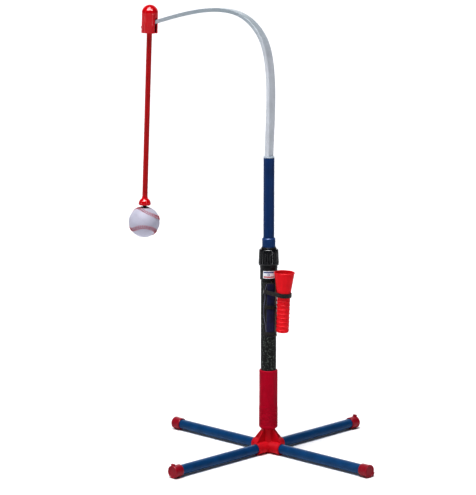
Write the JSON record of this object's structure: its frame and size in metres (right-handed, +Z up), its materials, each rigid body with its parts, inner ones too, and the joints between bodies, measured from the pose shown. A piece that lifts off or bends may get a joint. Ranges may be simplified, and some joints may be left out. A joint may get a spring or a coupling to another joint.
{
  "type": "batting tee",
  "caption": "Batting practice tee: crossed tube legs in a hub, telescopic pole with twist clamp, flexible arched arm with a ball on a hanging rod, and a stored ball cup.",
  "frame": {"origin": "on the floor under the pole's axis, at the centre of the hub's flat underside", "axes": "+Z up along the pole, -Y towards the label on the collar, the arm reaches out at azimuth 144 degrees from +X"},
  "size_m": [0.5591, 0.4776, 1.0138],
  "materials": {
    "blue_tube": "satin blue powder coat",
    "cap_red": "moulded red",
    "hub_red": "moulded red",
    "sleeve_crimson": "soft crimson sleeve",
    "pole_black": "grained black",
    "collar_black": "satin black",
    "label_white": null,
    "bush_black": "natural black",
    "blue_bush": "moulded blue",
    "arm_grey": "smooth silver grey flexible bar",
    "bush_white": "natural white",
    "head_red": "moulded red",
    "steel": "zinc plated",
    "ball_core": "wound filling",
    "ball_cover": "white synthetic leather with red stitches",
    "cup_red": "bright red flexible moulding",
    "backing_black": "black woven backing",
    "panel_navy": "navy woven fabric",
    "elastic_black": "black woven elastic"
  },
  "bodies": {
    "base": {"base_hub": "hub_red", "lower_sleeve": "sleeve_crimson", "pole_tube": "pole_black", "collar_body": "collar_black", "collar_label": "label_white", "collet": "collar_black", "panel_backing": "backing_black", "panel_face": "panel_navy", "strap_middle": "elastic_black", "strap_lower": "elastic_black", "strap_upper": "elastic_black", "leg_tube_front_right": "blue_tube", "leg_tube_back_right": "blue_tube", "leg_tube_back_left": "blue_tube", "leg_tube_front_left": "blue_tube", "end_cap_front_right": "cap_red", "end_cap_back_right": "cap_red", "end_cap_back_left": "cap_red", "end_cap_front_left": "cap_red"},
    "clamp_nut": {"twist_nut": "collar_black"},
    "telescope": {"inner_tube": "blue_tube", "inner_tube_guide": "bush_black", "reducer_bush": "blue_bush", "thrust_plug": "bush_black"},
    "mast": {"mast_tube": "blue_tube", "mast_foot_bush": "bush_black"},
    "arm": {"arm_bar": "arm_grey", "arm_socket_bush": "bush_white", "arm_tip_eye": "bush_white"},
    "head": {"head_shell_front": "head_red", "head_shell_rear": "head_red", "head_cross_pin": "steel", "head_screws": "steel", "tether_rod": "head_red", "ball_stopper": "head_red", "ball_stem": "collar_black"},
    "ball": {"ball_core": "ball_core", "ball_cover": "ball_cover", "ball_grommet": "collar_black"},
    "cup": {"tee_cone": "cup_red"}
  },
  "joints": [
    {"name": "nut_turn", "type": "hinge", "parent": "base", "child": "clamp_nut", "pos_m": [0, 0, 0.455], "axis": [0, 0, 1], "range_deg": [0, 90]},
    {"name": "telescope_slide", "type": "slide", "parent": "base", "child": "telescope", "axis": [0, 0, 1], "range_m": [0, 0.24]},
    {"name": "mast_swivel", "type": "hinge", "parent": "telescope", "child": "mast", "pos_m": [0, 0, 0.48], "axis": [0, 0, 1], "continuous": true},
    {"name": "arm_lift", "type": "slide", "parent": "mast", "child": "arm", "axis": [0, 0, 1], "range_m": [0, 0.078]},
    {"name": "head_swing", "type": "hinge", "parent": "arm", "child": "head", "pos_m": [-0.2745, 0.19944, 0.9694], "axis": [-0.5878, -0.809, 0], "range_deg": [-4, 40]},
    {"name": "ball_spin", "type": "hinge", "parent": "head", "child": "ball", "pos_m": [-0.29131, 0.21165, 0.50266], "axis": [0.036, -0.0262, 0.999], "continuous": true},
    {"name": "cup_lift", "type": "slide", "parent": "base", "child": "cup", "axis": [0.0275, -0.0289, 0.9992], "range_m": [0, 0.16]}
  ]
}
